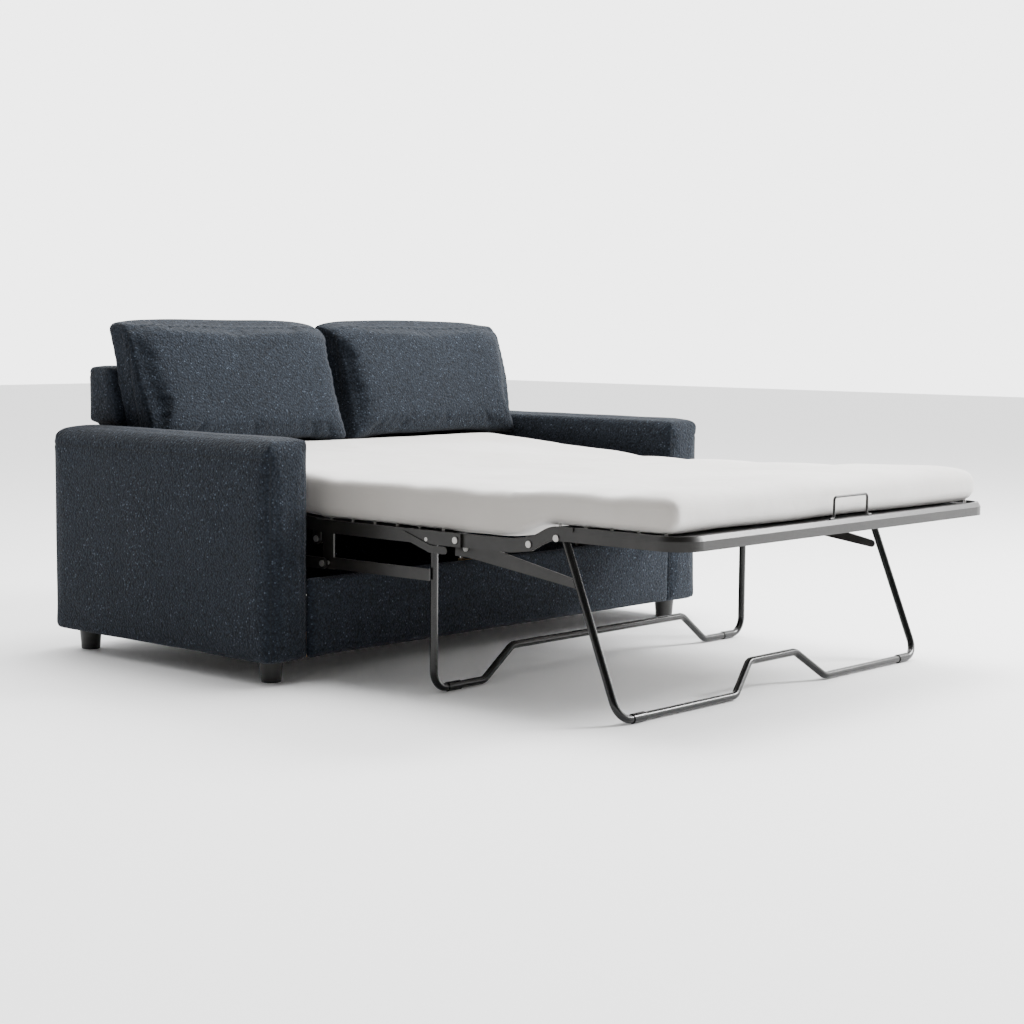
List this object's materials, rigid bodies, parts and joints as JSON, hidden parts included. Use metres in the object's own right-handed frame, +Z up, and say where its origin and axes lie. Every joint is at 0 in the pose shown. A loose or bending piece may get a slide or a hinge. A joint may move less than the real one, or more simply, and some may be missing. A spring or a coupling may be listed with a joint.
{
  "type": "sleeper sofa",
  "caption": "Sleeper sofa with square arms and loose back cushions, shown with its folding steel bed frame and thin mattress pulled out on fold-down legs.",
  "frame": {"origin": "Centre of the whole footprint, sofa and opened bed together, on the floor.", "axes": "+Z up, the sofa front and the foot of the bed face -Y, +X is to the right seen from the front; the object is symmetric about X = 0."},
  "size_m": [1.748, 1.98, 0.903],
  "materials": {
    "upholstery": "coarse chenille weave, slate blue grey",
    "mattress_cover": "smooth woven ticking, off white",
    "deck_cloth": "woven polypropylene, black",
    "dust_cloth": "spun-bond cloth, black",
    "timber": "planed softwood and plywood",
    "black_foot": "matt black, slightly textured",
    "frame_steel": "dark bronze powder coat, satin",
    "gloss_tube": "black powder coat, semi-gloss",
    "pin_steel": "blackened steel"
  },
  "bodies": {
    "root": {"arm_left": "upholstery", "arm_right": "upholstery", "arm_frame_left": "timber", "arm_frame_right": "timber", "front_rail": "upholstery", "back_panel": "upholstery", "back_rest": "upholstery", "back_cushion_left": "upholstery", "back_cushion_right": "upholstery", "base_boards": "timber", "dust_cover": "dust_cloth", "sofa_foot_front_left": "black_foot", "sofa_foot_front_right": "black_foot", "sofa_foot_rear_left": "black_foot", "sofa_foot_rear_right": "black_foot", "mechanism_bracket_left": "frame_steel", "mechanism_bracket_right": "frame_steel", "bracket_bolts": "pin_steel", "lift_pins": "pin_steel"},
    "lift_link": {"lift_link_left": "frame_steel", "lift_link_right": "frame_steel"},
    "body_section": {"body_rail_left": "frame_steel", "body_rail_right": "frame_steel", "side_bar_left": "frame_steel", "side_bar_right": "frame_steel", "body_front_bar": "frame_steel", "body_rear_bar": "frame_steel", "body_deck": "deck_cloth", "brace_bracket_left": "frame_steel", "brace_bracket_right": "frame_steel", "leg_stays": "frame_steel", "body_pins": "pin_steel", "mattress_body": "mattress_cover"},
    "rear_leg": {"rear_leg_left": "gloss_tube", "rear_leg_right": "gloss_tube", "rear_crossbar": "gloss_tube", "rear_leg_collars": "gloss_tube"},
    "brace": {"brace_left": "frame_steel", "brace_right": "frame_steel"},
    "fold_link": {"fold_link_left": "frame_steel", "fold_link_right": "frame_steel"},
    "foot_section": {"foot_rail_left": "frame_steel", "foot_rail_right": "frame_steel", "foot_end_rail": "frame_steel", "foot_rear_bar": "frame_steel", "foot_deck": "deck_cloth", "retainer_loop": "frame_steel", "foot_pins": "pin_steel", "mattress_foot": "mattress_cover"},
    "front_leg": {"front_leg_left": "gloss_tube", "front_leg_right": "gloss_tube", "front_crossbar": "gloss_tube", "front_leg_collars": "gloss_tube"},
    "seat_section": {"seat_frame": "frame_steel", "seat_deck": "deck_cloth", "seat_pins": "pin_steel", "mattress_seat": "mattress_cover"},
    "head_section": {"head_frame": "frame_steel", "head_deck": "deck_cloth", "mattress_head": "mattress_cover"}
  },
  "joints": [
    {"name": "lift", "type": "hinge", "parent": "root", "child": "lift_link", "pos_m": [0, 0.3964, 0.292], "axis": [-1, 0, 0], "range_deg": [0, 201.37]},
    {"name": "carry", "type": "hinge", "parent": "lift_link", "child": "body_section", "pos_m": [0, 0.122, 0.292], "axis": [-1, 0, 0], "range_deg": [-201.42, 0], "deforming": ["mattress_body"]},
    {"name": "rear_leg_fold", "type": "hinge", "parent": "body_section", "child": "rear_leg", "pos_m": [0, -0.223, 0.378], "axis": [-1, 0, 0], "range_deg": [-90.05, 0]},
    {"name": "brace_fold", "type": "hinge", "parent": "body_section", "child": "brace", "pos_m": [0, -0.315, 0.361], "axis": [-1, 0, 0], "range_deg": [-171.05, 0]},
    {"name": "fold_rear", "type": "hinge", "parent": "body_section", "child": "fold_link", "pos_m": [0, -0.32, 0.383], "axis": [-1, 0, 0], "range_deg": [0, 90.05]},
    {"name": "fold_front", "type": "hinge", "parent": "fold_link", "child": "foot_section", "pos_m": [0, -0.55, 0.392], "axis": [-1, 0, 0], "range_deg": [0, 90.05], "deforming": ["mattress_foot"]},
    {"name": "front_leg_fold", "type": "hinge", "parent": "foot_section", "child": "front_leg", "pos_m": [0, -0.632, 0.412], "axis": [-1, 0, 0], "range_deg": [0, 62.05]},
    {"name": "seat_fold", "type": "hinge", "parent": "body_section", "child": "seat_section", "pos_m": [0, 0.16, 0.35], "axis": [-1, 0, 0], "range_deg": [0, 159.05], "deforming": ["mattress_seat"]},
    {"name": "head_fold", "type": "hinge", "parent": "seat_section", "child": "head_section", "pos_m": [0, 0.4569, 0.40484], "axis": [-1, 0, 0], "range_deg": [-155.05, 0], "deforming": ["mattress_head"]}
  ],
  "couplings": [
    {"joint": "carry", "follows": "lift", "ratio": -1},
    {"joint": "rear_leg_fold", "follows": "lift", "ratio": -0.44694},
    {"joint": "brace_fold", "follows": "lift", "ratio": -0.84918},
    {"joint": "fold_rear", "follows": "lift", "ratio": 0.44694},
    {"joint": "fold_front", "follows": "lift", "ratio": 0.44694},
    {"joint": "front_leg_fold", "follows": "lift", "ratio": 0.30789},
    {"joint": "seat_fold", "follows": "lift", "ratio": 0.78959},
    {"joint": "head_fold", "follows": "lift", "ratio": -0.76973}
  ]
}
